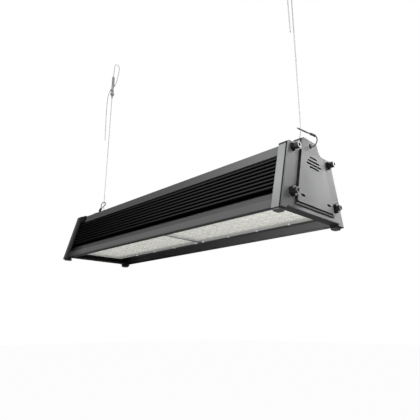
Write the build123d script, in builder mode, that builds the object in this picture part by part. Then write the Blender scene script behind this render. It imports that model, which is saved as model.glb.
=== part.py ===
from build123d import *

# Linear LED high bay light, hung from two wire ropes.
# X runs along the light, with the near end at +X. The front side faces -Y. Z is up.
# The origin is on the ground plane of the foot pads, midway between the ends.
# All sizes are in millimetres.

import os
from math import cos, pi, radians, sin, tan

os.makedirs("parts", exist_ok=True)

# Overall size
light_length = 605.0
foot_height = 2.5
frame_base_width = 172.2
frame_shoulder_width = 117.2
frame_height = 105.1

# End frame, gasket and end plate, counted inward from the plate's outer face
plate_thickness = 2.2
gasket_thickness = 1.6
frame_depth = 13.0
gasket_inset = 0.4
plate_inset = 0.2
foot_bar_overlap = 0.58525
foot_arch_height = 5.2
frame_bar = 2.5
arch_rounding = 3.4
frame_corner_rounding = 1.2
shoulder_rounding = 4.0
housing_clearance = 0.4
plate_edge_break = 0.5
plate_window_margin = 7.0

# Lug on top of each end frame
lug_top_width = 38.0
lug_base_width = 51.0
lug_height = 17.8
lug_rounding = 2.5
lug_foot_rounding = 11.0
rope_hole_radius = 4.0
rope_hole_below_lug_top = 10.0

# Housing extrusion
side_inset = 4.1
housing_bottom_gap = 2.0
housing_height = 99.5
skirt_wall = 2.5
skirt_height = 23.5
skirt_crease_height = 14.5
skirt_crease_step = 1.2
skirt_lip_height = 4.0
skirt_lip_step = 3.5
base_thickness = 3.0
fin_count = 8
fin_pitch = 6.4
fin_thickness = 2.2
fin_root_taper = 0.4
fin_depth = 16.0
first_gap = 9.4
core_wall = 3.0
roof_thickness = 4.0
rail_height = 15.5
port_boss_radius = 4.5
port_bore_radius = 3.2
lower_port_from_screw_row = 0.4647
upper_port_inset = 7.0
upper_port_drop = 1.0
cut_margin = 1.0
match_tolerance = 0.01

# Raised cover on each end plate
cover_from_lower_port = 8.2853
cover_top_width = 62.0
cover_height = 82.5
cover_above_frame_foot = 15.3
spacer_depth = 2.3
spacer_flare = 2.0
spacer_wall = 3.0
cover_thickness = 1.2
cover_rounding = 3.0
vent_height = 2.8
upper_vents = [(91.6, 20.0), (85.7, 32.5), (80.6, 40.5), (75.7, 26.0)]
lower_vent_length = 10.5
lower_vent_height = 3.4
lower_vent_spacing = 72.0
lower_vent_level = 26.3

# End fastenings
screw_radius = 3.0
screw_hole_radius = 3.3
port_engagement = 7.5
lower_collar_flats = 13.4
lower_collar_length = 6.5
lower_head_radius = 4.3
lower_head_length = 4.0
upper_collar_flats = 12.0
upper_collar_length = 4.5
upper_head_radius = 4.8
upper_head_length = 7.0
socket_flats = 5.0
socket_depth = 3.0

# Foot pads
foot_pad_width = 15.0
foot_pad_inset = 0.5
foot_pad_rounding = 3.5
foot_pad_edge = 0.6

# Light panels
panel_width = 128.0
panel_end_gap = 2.7
panel_gap = 2.0
panel_corner = 4.0
lens_rim_thickness = 4.5
lens_wall = 2.0
field_end_margin = 9.5
field_side_margin = 18.0
field_drop = 1.0
field_rounding = 3.0
lens_columns = 15
lens_rows = 5
lens_end_margin = 12.0
lens_side_margin = 15.0
lens_cell_radius = 6.4
lens_cell_height = 2.0
lens_cell_sides = 8
lens_cell_slope = 45.0
seal_thickness = 0.5
seal_width = 6.0
seal_inner_corner = 3.0
board_end_margin = 11.5
board_side_margin = 14.0
board_thickness = 1.6
board_clearance = 0.8
led_size = 3.0
led_height = 0.7
panel_screw_count = 5
panel_screw_end_margin = 9.5
panel_screw_side_margin = 4.0
panel_screw_radius = 1.9
panel_screw_clearance = 0.2
panel_screw_head_radius = 3.5
panel_screw_head_height = 1.8
panel_screw_bite = 2.6

# Driver and terminal block inside the housing
driver_length = 230.0
driver_width = 70.0
driver_height = 40.0
driver_ear_length = 12.0
driver_ear_thickness = 3.0
driver_rounding = 3.0
driver_offset = 20.0
driver_screw_spacing = 46.0
driver_screw_radius = 1.9
driver_screw_hole_radius = 2.1
driver_screw_head_radius = 3.6
driver_screw_head_height = 2.4
driver_screw_tip_gap = 0.4
terminal_length = 30.0
terminal_width = 52.0
terminal_height = 20.0
terminal_offset = 175.0
terminal_poles = 5
terminal_pitch = 9.0
terminal_hole_radius = 2.2

# Mains cable gland on the roof
gland_offset = 240.0
gland_thread_radius = 9.8
gland_hole_radius = 10.2
gland_flats = 24.0
gland_flange_height = 5.0
gland_barrel_radius = 8.8
gland_barrel_height = 8.0
gland_bore_radius = 6.5
gland_thread_length = 10.0
gland_locknut_height = 4.5
gland_nut_gap = 1.0
gland_nut_height = 18.0
gland_nut_wall = 2.2
gland_nut_hex_height = 10.0
gland_nut_step = 0.6
gland_clearance = 0.2
seal_bore_radius = 4.5
seal_collar_height = 5.0

# Plug in the far end of the front rail
plug_length = 16.0
plug_depth = 8.0
plug_height = 13.0
plug_clearance = 0.2
plug_stand_out = 1.0
plug_stand_up = 2.5
plug_rounding = 0.8

# Wire ropes
rope_radius = 1.0
rope_top_level = 452.5
rope_edge_bend = 4.5
rope_lug_gap = 0.5
eye_crossing_height = 33.0
lug_touch_height = 15.5
lug_edge_height = 1.0
ferrule_length = 8.5
ferrule_width = 6.4
ferrule_depth = 3.8
eye_start_spread = 1.3
eye_straight = 4.0
eye_width = 10.0

# How far each rope hangs in from the end plate's outer face
rope_from_plate = {"near": 14.1, "far": 16.5}

# Each rope's lower end. Reach is from the end plate and height is from the lug's hole.
# The bow is the bend of wire that comes out of the hole and turns up to the ferrule.
rope_ends = {
    "near": {"side": 1, "ferrule": (8.7, 14.8), "slant": 141.1, "eye_length": 26.7},
    "far": {"side": -1, "ferrule": (3.0, 20.6), "slant": 139.0, "eye_length": 20.3},
}
rope_bows = {"near": [(4.4, -3.0), (11.8, 3.0)], "far": [(3.2, -2.9), (8.5, 4.5)]}

# Wire grippers
gripper_tip_radius = 2.2
gripper_tip_length = 11.0
gripper_collar_radius = 5.5
gripper_collar_height = 4.0
gripper_body_radius = 3.5
gripper_body_length = 53.0
gripper_channel_tilt = 27.0
gripper_channel_level = 22.5
gripper_channel_reach = 13.0
gripper_channel_radius = 2.2
gripper_edge = 0.8
gripper_collar_edge = 0.5

# Loop over each gripper, and the free tail below it
loop_offset = 1.5
loop_width = 15.0
loop_neck = 8.0
loop_shoulder = 27.5
loop_height = 43.0
loop_waist = 12.5
loop_waist_drop = 0.5
channel_lead = 6.8
# Distance in front of the rope, and height from the gripper's foot
tail_route = [(12.4, 2.5), (13.6, -22.5), (13.2, -57.5), (12.2, -94.5), (11.0, -128.8)]

# Levels and places worked out from the sizes above
half_length = light_length / 2
frame_foot = foot_height
shoulder_level = frame_foot + frame_height
lug_top = shoulder_level + lug_height
rope_hole_level = lug_top - rope_hole_below_lug_top
side_lean = (frame_base_width - frame_shoulder_width) / 2 / frame_height
plate_inner = half_length - plate_thickness
gasket_inner = plate_inner - gasket_thickness
frame_inner = gasket_inner - frame_depth
housing_bottom = frame_foot + housing_bottom_gap
housing_top = housing_bottom + housing_height
skirt_top = housing_bottom + skirt_height
base_bottom = skirt_top - base_thickness
rail_bottom = housing_top - rail_height
lower_port_level = base_bottom + port_boss_radius
upper_port_level = housing_top - port_boss_radius - upper_port_drop
roof_inner = housing_top - roof_thickness
arch_level = frame_foot + foot_arch_height
spacer_outer = half_length + spacer_depth
cover_foot = frame_foot + cover_above_frame_foot
panel_length = gasket_inner - panel_end_gap - panel_gap / 2
panel_centre = panel_gap / 2 + panel_length / 2
panel_screw_pitch = (panel_length - 2 * panel_screw_end_margin) / (panel_screw_count - 1)
panel_screw_rows = panel_width - 2 * panel_screw_side_margin
lower_port_half = panel_screw_rows / 2 - lower_port_from_screw_row
field_length = panel_length - 2 * field_end_margin
field_width = panel_width - 2 * field_side_margin
lens_pitch_x = (field_length - 2 * lens_end_margin) / (lens_columns - 1)
lens_pitch_y = (field_width - 2 * lens_side_margin) / (lens_rows - 1)
board_length = panel_length - 2 * board_end_margin
board_width = panel_width - 2 * board_side_margin
lens_top = base_bottom - seal_thickness
lens_rim_bottom = lens_top - lens_rim_thickness
lens_field_bottom = lens_rim_bottom - field_drop
board_bottom = base_bottom - board_thickness


def frame_half(level):
    """Half the end frame's width at a height."""
    return frame_base_width / 2 - side_lean * (level - frame_foot)


def housing_half(level):
    """Half the housing's width at a height."""
    return frame_half(level) - side_inset


def channel_half(level):
    """Half the width of the light channel between the skirts."""
    return housing_half(level) - skirt_wall


bar_top = arch_level + frame_bar
bar_half = channel_half(bar_top) - skirt_lip_step - housing_clearance


def core_half(level):
    """Half the width of the box behind the fins."""
    return housing_half(level) - fin_depth


def both_sides(right_points):
    """Close an outline from its right half, listed from the bottom to the top."""
    left_points = [(-y, z) for y, z in reversed(right_points)]
    return right_points + left_points


def corners_at(outline, level):
    """The corners of a sketch that lie at one height."""
    return outline.vertices().filter_by(lambda corner: abs(corner.Y - level) < match_tolerance)


def frame_outline(plane, inset=0.0):
    """The outline shared by end frame, gasket and plate: two feet, leaning sides and a lug."""
    arch_half = bar_half - foot_bar_overlap
    right = [
        (arch_half, arch_level),
        (arch_half, frame_foot),
        (frame_half(frame_foot), frame_foot),
        (frame_half(shoulder_level), shoulder_level),
        (lug_base_width / 2, shoulder_level),
        (lug_top_width / 2, lug_top),
    ]
    with BuildSketch(plane) as outline:
        with BuildLine():
            Polyline(*both_sides(right), close=True)
        make_face()
        # Inside the sketch, X is the light's width and Y is its height
        fillet(outline.vertices().group_by(Axis.Y)[0], frame_corner_rounding)
        fillet(corners_at(outline, arch_level), arch_rounding)
        lug_feet = corners_at(outline, shoulder_level).sort_by(lambda corner: abs(corner.X))
        fillet(lug_feet[0:2], lug_foot_rounding)
        shoulders = corners_at(outline, shoulder_level).sort_by(lambda corner: abs(corner.X))
        fillet(shoulders[-2:], shoulder_rounding)
        fillet(outline.vertices().group_by(Axis.Y)[-1], lug_rounding)
        if inset:
            offset(amount=-inset)
    return outline.sketch


def end_port_places():
    """Centres of the four screw ports, as width and height."""
    upper_half = housing_half(upper_port_level) - upper_port_inset
    lower = [(side * lower_port_half, lower_port_level) for side in (1, -1)]
    upper = [(side * upper_half, upper_port_level) for side in (1, -1)]
    return lower + upper


def save(part, name):
    """Label a finished piece and write its file."""
    part.label = name
    export_step(part, f"parts/{name}.step")


def save_pair(near_part, name):
    """Write a piece of the near end, and its mirror image for the far end."""
    save(near_part, f"{name}_near")
    save(mirror(near_part, about=Plane.YZ), f"{name}_far")


# Housing extrusion: skirts, light channel, fins, top rails and a closed box for the driver
fin_levels = [
    skirt_top + first_gap + fin_thickness / 2 + index * fin_pitch for index in range(fin_count)
]
gap_edges = [skirt_top]
for fin_level in fin_levels:
    gap_edges += [fin_level - fin_thickness / 2, fin_level + fin_thickness / 2]
gap_edges.append(rail_bottom)

with BuildPart() as housing:
    with BuildSketch(Plane.YZ.offset(-gasket_inner)) as section:
        lip_level = housing_bottom + skirt_lip_height
        crease_level = housing_bottom + skirt_crease_height
        Polygon(
            *both_sides(
                [
                    (housing_half(housing_bottom) - skirt_lip_step, housing_bottom),
                    (housing_half(lip_level), lip_level),
                    (housing_half(crease_level), crease_level),
                    (housing_half(skirt_top) - skirt_crease_step, skirt_top),
                    (housing_half(skirt_top), skirt_top),
                    (housing_half(housing_top), housing_top),
                ]
            ),
            align=None,
        )
        Polygon(
            *both_sides(
                [
                    (channel_half(housing_bottom) - skirt_lip_step, housing_bottom),
                    (channel_half(lip_level), lip_level),
                    (channel_half(base_bottom) - skirt_crease_step, base_bottom),
                ]
            ),
            align=None,
            mode=Mode.SUBTRACT,
        )
        for low, high in zip(gap_edges[0::2], gap_edges[1::2]):
            for side in (1, -1):
                Polygon(
                    (side * (housing_half(low) + cut_margin), low),
                    (side * (housing_half(low) + cut_margin), high),
                    (side * core_half(high), high - fin_root_taper),
                    (side * core_half(low), low + fin_root_taper),
                    align=None,
                    mode=Mode.SUBTRACT,
                )
        Polygon(
            *both_sides(
                [
                    (core_half(skirt_top) - core_wall, skirt_top),
                    (core_half(roof_inner) - core_wall, roof_inner),
                ]
            ),
            align=None,
            mode=Mode.SUBTRACT,
        )
        rail_floor = rail_bottom + core_wall
        Polygon(
            *both_sides(
                [
                    (housing_half(rail_floor) - core_wall, rail_floor),
                    (housing_half(roof_inner) - core_wall, roof_inner),
                ]
            ),
            align=None,
            mode=Mode.SUBTRACT,
        )
        with Locations(*end_port_places()):
            Circle(port_boss_radius)
        with Locations(*end_port_places()):
            Circle(port_bore_radius, mode=Mode.SUBTRACT)
    extrude(amount=2 * gasket_inner)
    with BuildSketch(Plane.XY.offset(base_bottom)):
        with Locations((panel_centre, 0), (-panel_centre, 0)):
            with GridLocations(panel_screw_pitch, panel_screw_rows, panel_screw_count, 2):
                Circle(panel_screw_radius + panel_screw_clearance)
    extrude(amount=panel_screw_bite + panel_screw_clearance, mode=Mode.SUBTRACT)
    with BuildSketch(Plane.XY.offset(skirt_top)):
        with Locations((driver_offset, 0)):
            with GridLocations(driver_length + driver_ear_length, driver_screw_spacing, 2, 2):
                Circle(driver_screw_hole_radius)
    extrude(amount=-(base_thickness - driver_screw_tip_gap / 2), mode=Mode.SUBTRACT)
    with BuildSketch(Plane.XY.offset(roof_inner)):
        with Locations((-gland_offset, 0)):
            Circle(gland_hole_radius)
    extrude(amount=roof_thickness, mode=Mode.SUBTRACT)
    with BuildSketch(Plane.YZ.offset(-frame_inner)):
        notch_floor = housing_top - plug_height
        notch_back = housing_half(notch_floor) - plug_depth
        notch_front = housing_half(notch_floor) + cut_margin
        Polygon(
            (-notch_back, notch_floor),
            (-notch_front, notch_floor),
            (-notch_front, housing_top + cut_margin),
            (-notch_back, housing_top + cut_margin),
            align=None,
        )
    extrude(amount=plug_length, mode=Mode.SUBTRACT)
save(housing.part, "housing")

# Rail plug: a moulded block that fills the notch and stands a little proud
with BuildPart() as rail_plug:
    with BuildSketch(Plane.YZ.offset(-frame_inner)):
        plug_floor = notch_floor + plug_clearance
        plug_back = notch_back + plug_clearance
        Polygon(
            (-plug_back, plug_floor),
            (-(housing_half(plug_floor) + plug_stand_out), plug_floor),
            (-(housing_half(housing_top) + plug_stand_out), housing_top + plug_stand_up),
            (-plug_back, housing_top + plug_stand_up),
            align=None,
        )
    extrude(amount=plug_length - plug_clearance)
    fillet(rail_plug.faces().sort_by(Axis.X)[-1].edges(), plug_rounding)
save(rail_plug.part, "rail_plug")

# End frame: a cast rim around the housing's end, with its lug, feet and lower bar
with BuildPart() as end_frame:
    extrude(frame_outline(Plane.YZ.offset(frame_inner)), amount=frame_depth)
    with BuildSketch(Plane.YZ.offset(frame_inner)):
        passage_bottom = housing_bottom - housing_clearance
        passage_top = housing_top + housing_clearance
        Polygon(
            *both_sides(
                [
                    (housing_half(passage_bottom) + housing_clearance, passage_bottom),
                    (housing_half(passage_top) + housing_clearance, passage_top),
                ]
            ),
            align=None,
        )
        Polygon(
            *both_sides([(bar_half, passage_bottom), (bar_half, bar_top)]),
            align=None,
            mode=Mode.SUBTRACT,
        )
    extrude(amount=frame_depth, mode=Mode.SUBTRACT)
    with BuildSketch(Plane.YZ.offset(frame_inner)):
        with Locations((0, rope_hole_level)):
            Circle(rope_hole_radius)
    extrude(amount=frame_depth, mode=Mode.SUBTRACT)
save_pair(end_frame.part, "end_frame")

# End gasket: a thin sheet between frame and plate, open in the middle
with BuildPart() as end_gasket:
    extrude(frame_outline(Plane.YZ.offset(gasket_inner), gasket_inset), amount=gasket_thickness)
    with BuildSketch(Plane.YZ.offset(gasket_inner)):
        window_bottom = skirt_top + port_boss_radius * 2
        window_top = roof_inner - port_boss_radius
        Polygon(
            *both_sides(
                [
                    (core_half(window_bottom) - core_wall, window_bottom),
                    (core_half(window_top) - core_wall, window_top),
                ]
            ),
            align=None,
        )
        with Locations(*end_port_places()):
            Circle(screw_hole_radius)
        with Locations((0, rope_hole_level)):
            Circle(rope_hole_radius)
    extrude(amount=gasket_thickness, mode=Mode.SUBTRACT)
save_pair(end_gasket.part, "end_gasket")

# End plate: flat sheet with the frame's outline and a vent window behind the cover
with BuildPart() as end_plate:
    extrude(frame_outline(Plane.YZ.offset(plate_inner), plate_inset), amount=plate_thickness)
    chamfer(end_plate.faces().sort_by(Axis.X)[-1].edges(), plate_edge_break)
    with BuildSketch(Plane.YZ.offset(plate_inner)):
        plate_window_bottom = cover_foot + plate_window_margin
        plate_window_top = cover_foot + cover_height - plate_window_margin
        Polygon(
            *both_sides(
                [
                    (cover_top_width / 2 + plate_window_margin, plate_window_bottom),
                    (cover_top_width / 2 - plate_window_margin, plate_window_top),
                ]
            ),
            align=None,
        )
        with Locations(*end_port_places()):
            Circle(screw_hole_radius)
        with Locations((0, rope_hole_level)):
            Circle(rope_hole_radius)
    extrude(amount=plate_thickness, mode=Mode.SUBTRACT)
save_pair(end_plate.part, "end_plate")


def cover_outline(plane):
    """Rounded trapezoid shared by the cover and its spacer."""
    with BuildSketch(plane) as outline:
        Polygon(
            *both_sides(
                [
                    (lower_port_half - cover_from_lower_port, cover_foot),
                    (cover_top_width / 2, cover_foot + cover_height),
                ]
            ),
            align=None,
        )
        fillet(outline.vertices(), cover_rounding)
    return outline.sketch


# Cover spacer: the black ring that holds the cover off the plate, flared towards the plate
with BuildPart() as cover_spacer:
    plate_side = offset(cover_outline(Plane.YZ.offset(half_length)), spacer_flare, mode=Mode.PRIVATE)
    cover_side = cover_outline(Plane.YZ.offset(spacer_outer))
    loft([plate_side.face(), cover_side.face()])
    inner_outline = offset(cover_outline(Plane.YZ.offset(half_length)), -spacer_wall, mode=Mode.PRIVATE)
    extrude(inner_outline, amount=spacer_depth, mode=Mode.SUBTRACT)
save_pair(cover_spacer.part, "cover_spacer")

# End cover: flat plate with four upper vents and two short lower ones
with BuildPart() as end_cover:
    extrude(cover_outline(Plane.YZ.offset(spacer_outer)), amount=cover_thickness)
    with BuildSketch(Plane.YZ.offset(spacer_outer)):
        for vent_level, vent_length in upper_vents:
            with Locations((0, frame_foot + vent_level)):
                SlotOverall(vent_length, vent_height)
        with Locations((0, frame_foot + lower_vent_level)):
            with GridLocations(lower_vent_spacing, 1, 2, 1):
                SlotOverall(lower_vent_length, lower_vent_height)
    extrude(amount=cover_thickness, mode=Mode.SUBTRACT)
save_pair(end_cover.part, "end_cover")

# Hexagonal collars under the end screws
lower_places = end_port_places()[0:2]
upper_places = end_port_places()[2:4]
end_screw_kinds = [
    (lower_places, lower_collar_flats, lower_collar_length, lower_head_radius, lower_head_length),
    (upper_places, upper_collar_flats, upper_collar_length, upper_head_radius, upper_head_length),
]
with BuildPart() as end_collars:
    for places, flats, length, head_radius, head_length in end_screw_kinds:
        with BuildSketch(Plane.YZ.offset(half_length)):
            with Locations(*places):
                RegularPolygon(flats / 2, 6, major_radius=False, rotation=30)
                Circle(screw_hole_radius, mode=Mode.SUBTRACT)
        extrude(amount=length)
save_pair(end_collars.part, "end_collars")

# End screws: long socket heads outside, shanks through plate and gasket into the ports
with BuildPart() as end_screws:
    for places, flats, length, head_radius, head_length in end_screw_kinds:
        with BuildSketch(Plane.YZ.offset(gasket_inner - port_engagement)):
            with Locations(*places):
                Circle(screw_radius)
        extrude(amount=half_length + length - gasket_inner + port_engagement)
        with BuildSketch(Plane.YZ.offset(half_length + length)):
            with Locations(*places):
                Circle(head_radius)
        extrude(amount=head_length)
        with BuildSketch(Plane.YZ.offset(half_length + length + head_length)):
            with Locations(*places):
                RegularPolygon(socket_flats / 2, 6, major_radius=False)
        extrude(amount=-socket_depth, mode=Mode.SUBTRACT)
save_pair(end_screws.part, "end_screws")

# Foot pads under the four corners of the frames
with BuildPart() as foot_pads:
    pad_length = frame_depth - 2 * foot_pad_inset
    pad_outer = frame_half(frame_foot) - frame_corner_rounding
    with BuildSketch(Plane.XY):
        pad_spacing_x = 2 * frame_inner + frame_depth
        pad_spacing_y = 2 * (pad_outer - foot_pad_width / 2)
        with GridLocations(pad_spacing_x, pad_spacing_y, 2, 2):
            RectangleRounded(pad_length, foot_pad_width, foot_pad_rounding)
    extrude(amount=foot_height)
    chamfer(foot_pads.faces().filter_by(Axis.Z).group_by(Axis.Z)[0].edges(), foot_pad_edge)
save(foot_pads.part, "foot_pads")

# LED board: flat strip of aluminium circuit board under the housing's base
with BuildPart() as led_board:
    with BuildSketch(Plane.XY.offset(board_bottom)):
        with Locations((panel_centre, 0)):
            RectangleRounded(board_length, board_width, field_rounding)
    extrude(amount=board_thickness)
save_pair(led_board.part, "led_board")

# LEDs: small square packages on the board's lower face
with BuildPart() as leds:
    with BuildSketch(Plane.XY.offset(board_bottom)):
        with Locations((panel_centre, 0)):
            with GridLocations(lens_pitch_x, lens_pitch_y, lens_columns, lens_rows):
                Rectangle(led_size, led_size)
    extrude(amount=-led_height)
save_pair(leds.part, "leds")

# Lens cell: one shallow eight-sided lens of the clear plate, hanging from its own flat top
with BuildPart() as lens_cell:
    with BuildSketch():
        RegularPolygon(lens_cell_radius, lens_cell_sides, rotation=180 / lens_cell_sides)
    extrude(amount=-lens_cell_height, taper=lens_cell_slope)

# Lens plate: clear moulding with a screwed rim, a raised field and one lens for each LED
with BuildPart() as lens_plate:
    with BuildSketch(Plane.XY.offset(lens_rim_bottom)):
        with Locations((panel_centre, 0)):
            RectangleRounded(panel_length, panel_width, panel_corner)
    extrude(amount=lens_rim_thickness)
    with BuildSketch(Plane.XY.offset(lens_field_bottom)):
        with Locations((panel_centre, 0)):
            RectangleRounded(field_length, field_width, field_rounding)
    extrude(amount=field_drop)
    with BuildSketch(Plane.XY.offset(lens_rim_bottom + lens_wall)):
        with Locations((panel_centre, 0)):
            RectangleRounded(
                board_length + 2 * board_clearance,
                board_width + 2 * board_clearance,
                field_rounding + board_clearance,
            )
    extrude(amount=lens_rim_thickness - lens_wall, mode=Mode.SUBTRACT)
    with BuildSketch(Plane.XY.offset(lens_rim_bottom)):
        with Locations((panel_centre, 0)):
            with GridLocations(panel_screw_pitch, panel_screw_rows, panel_screw_count, 2):
                Circle(panel_screw_radius + panel_screw_clearance)
    extrude(amount=lens_rim_thickness, mode=Mode.SUBTRACT)
    with Locations((panel_centre, 0, lens_field_bottom)):
        with GridLocations(lens_pitch_x, lens_pitch_y, lens_columns, lens_rows):
            add(lens_cell.part)
save_pair(lens_plate.part, "lens_plate")

# Panel seal: a soft ring pressed between the lens plate's rim and the housing
with BuildPart() as panel_seal:
    with BuildSketch(Plane.XY.offset(lens_top)):
        with Locations((panel_centre, 0)):
            inner_length = board_length + 2 * board_clearance
            inner_width = board_width + 2 * board_clearance
            RectangleRounded(inner_length + seal_width, inner_width + seal_width, panel_corner)
            RectangleRounded(inner_length, inner_width, seal_inner_corner, mode=Mode.SUBTRACT)
    extrude(amount=seal_thickness)
save_pair(panel_seal.part, "panel_seal")

# Panel screws: small hexagonal heads against the lens plate's rim
with BuildPart() as panel_screws:
    with BuildSketch(Plane.XY.offset(lens_rim_bottom)):
        with Locations((panel_centre, 0)):
            with GridLocations(panel_screw_pitch, panel_screw_rows, panel_screw_count, 2):
                Circle(panel_screw_radius)
    extrude(amount=base_bottom - lens_rim_bottom + panel_screw_bite)
    with BuildSketch(Plane.XY.offset(lens_rim_bottom)):
        with Locations((panel_centre, 0)):
            with GridLocations(panel_screw_pitch, panel_screw_rows, panel_screw_count, 2):
                RegularPolygon(panel_screw_head_radius, 6)
    extrude(amount=-panel_screw_head_height)
save_pair(panel_screws.part, "panel_screws")

# Driver: one sealed unit with a screwed ear at each end, standing on the housing's base
with BuildPart() as driver:
    with BuildSketch(Plane.XY.offset(skirt_top)):
        with Locations((driver_offset, 0)):
            Rectangle(driver_length, driver_width)
    extrude(amount=driver_height)
    fillet(driver.edges().filter_by(Axis.X).group_by(Axis.Z)[-1], driver_rounding)
    with BuildSketch(Plane.XY.offset(skirt_top)):
        with Locations((driver_offset, 0)):
            Rectangle(driver_length + 2 * driver_ear_length, driver_width)
    extrude(amount=driver_ear_thickness)
    with BuildSketch(Plane.XY.offset(skirt_top)):
        with Locations((driver_offset, 0)):
            with GridLocations(driver_length + driver_ear_length, driver_screw_spacing, 2, 2):
                Circle(driver_screw_hole_radius)
    extrude(amount=driver_ear_thickness, mode=Mode.SUBTRACT)
save(driver.part, "driver")

# Driver screws
with BuildPart() as driver_screws:
    with BuildSketch(Plane.XY.offset(skirt_top + driver_ear_thickness)):
        with Locations((driver_offset, 0)):
            with GridLocations(driver_length + driver_ear_length, driver_screw_spacing, 2, 2):
                Circle(driver_screw_head_radius)
    extrude(amount=driver_screw_head_height)
    with BuildSketch(Plane.XY.offset(skirt_top + driver_ear_thickness)):
        with Locations((driver_offset, 0)):
            with GridLocations(driver_length + driver_ear_length, driver_screw_spacing, 2, 2):
                Circle(driver_screw_radius)
    extrude(amount=-(driver_ear_thickness + base_thickness - driver_screw_tip_gap))
save(driver_screws.part, "driver_screws")

# Terminal block for the mains wires, bonded to the housing's base
with BuildPart() as terminal_block:
    with BuildSketch(Plane.XY.offset(skirt_top)):
        with Locations((-terminal_offset, 0)):
            Rectangle(terminal_length, terminal_width)
    extrude(amount=terminal_height)
    with BuildSketch(Plane.YZ.offset(-terminal_offset - terminal_length / 2)):
        with Locations((0, skirt_top + terminal_height / 2)):
            with GridLocations(terminal_pitch, 1, terminal_poles, 1):
                Circle(terminal_hole_radius)
    extrude(amount=terminal_length, mode=Mode.SUBTRACT)
save(terminal_block.part, "terminal_block")

# Cable gland body: threaded spigot through the roof, hexagonal flange and upper barrel
gland_seat = housing_top + gland_flange_height
gland_barrel_top = gland_seat + gland_barrel_height
with BuildPart() as gland_body:
    with BuildSketch(Plane.XY.offset(housing_top - gland_thread_length)):
        with Locations((-gland_offset, 0)):
            Circle(gland_thread_radius)
    extrude(amount=gland_thread_length)
    with BuildSketch(Plane.XY.offset(housing_top)):
        with Locations((-gland_offset, 0)):
            RegularPolygon(gland_flats / 2, 6, major_radius=False)
    extrude(amount=gland_flange_height)
    with BuildSketch(Plane.XY.offset(gland_seat)):
        with Locations((-gland_offset, 0)):
            Circle(gland_barrel_radius)
    extrude(amount=gland_barrel_height)
    with BuildSketch(Plane.XY.offset(housing_top - gland_thread_length)):
        with Locations((-gland_offset, 0)):
            Circle(gland_bore_radius)
    extrude(amount=gland_thread_length + gland_flange_height + gland_barrel_height, mode=Mode.SUBTRACT)
save(gland_body.part, "gland_body")

# Gland lock nut inside the roof
with BuildPart() as gland_locknut:
    with BuildSketch(Plane.XY.offset(roof_inner)):
        with Locations((-gland_offset, 0)):
            RegularPolygon(gland_flats / 2, 6, major_radius=False)
            Circle(gland_thread_radius + gland_clearance, mode=Mode.SUBTRACT)
    extrude(amount=-gland_locknut_height)
save(gland_locknut.part, "gland_locknut")

# Gland dome nut, screwed down over the barrel
dome_foot = gland_seat + gland_nut_gap
dome_top = dome_foot + gland_nut_height
with BuildPart() as gland_nut:
    with BuildSketch(Plane.XY.offset(dome_foot)):
        with Locations((-gland_offset, 0)):
            RegularPolygon(gland_flats / 2 - gland_nut_step, 6, major_radius=False)
    extrude(amount=gland_nut_hex_height)
    with BuildSketch(Plane.XY.offset(dome_foot)):
        with Locations((-gland_offset, 0)):
            Circle(gland_flats / 2 - gland_nut_step)
    extrude(amount=gland_nut_height)
    fillet(gland_nut.faces().sort_by(Axis.Z)[-1].edges(), gland_nut_wall)
    with BuildSketch(Plane.XY.offset(dome_foot)):
        with Locations((-gland_offset, 0)):
            Circle(gland_barrel_radius + gland_clearance)
    extrude(amount=gland_nut_height - gland_nut_wall, mode=Mode.SUBTRACT)
    with BuildSketch(Plane.XY.offset(dome_foot)):
        with Locations((-gland_offset, 0)):
            Circle(gland_bore_radius)
    extrude(amount=gland_nut_height, mode=Mode.SUBTRACT)
save(gland_nut.part, "gland_nut")

# Gland seal: rubber ring held between the barrel and the dome nut
seal_top = dome_top - gland_nut_wall
seal_outer = gland_barrel_radius - gland_clearance
with BuildPart() as gland_seal:
    with BuildSketch(Plane.XY.offset(gland_barrel_top)):
        with Locations((-gland_offset, 0)):
            Circle(seal_outer)
    extrude(amount=seal_top - gland_barrel_top)
    with BuildSketch(Plane.XY.offset(gland_barrel_top)):
        with Locations((-gland_offset, 0)):
            Circle(gland_bore_radius - gland_clearance)
    extrude(amount=-seal_collar_height)
    with BuildSketch(Plane.XY.offset(gland_barrel_top - seal_collar_height)):
        with Locations((-gland_offset, 0)):
            Circle(seal_bore_radius)
    extrude(amount=seal_collar_height + seal_top - gland_barrel_top, mode=Mode.SUBTRACT)
save(gland_seal.part, "gland_seal")


# Wire ropes, their crimped eyes and their grippers
def corner_radii(points, named=None):
    """Radius for each corner of a rope's route, as large as its two runs allow."""
    radii = []
    for index in range(1, len(points) - 1):
        before = Vector(points[index]) - Vector(points[index - 1])
        after = Vector(points[index + 1]) - Vector(points[index])
        half_turn = radians(before.get_angle(after)) / 2
        radii.append(0.45 * min(before.length, after.length) / tan(half_turn))
    for index, radius in (named or {}).items():
        radii[index] = radius
    return radii


def rope_tube(name, points, named=None):
    """Sweep the rope's round section along a route and report its radii and volume."""
    radii = corner_radii(points, named)
    with BuildPart() as tube:
        with BuildLine() as route:
            FilletPolyline(*points, radius=radii)
        path = route.wire()
        with BuildSketch(Plane(origin=path @ 0, z_dir=path % 0)):
            Circle(rope_radius)
        sweep()
    length = path.length
    share = tube.part.volume / (pi * rope_radius**2 * length)
    print(name, "length", round(length, 1), "volume share", round(share, 4))
    print("  radii", [round(radius, 1) for radius in radii])
    save(tube.part, name)


lug_face = frame_inner - rope_radius - rope_lug_gap

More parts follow.
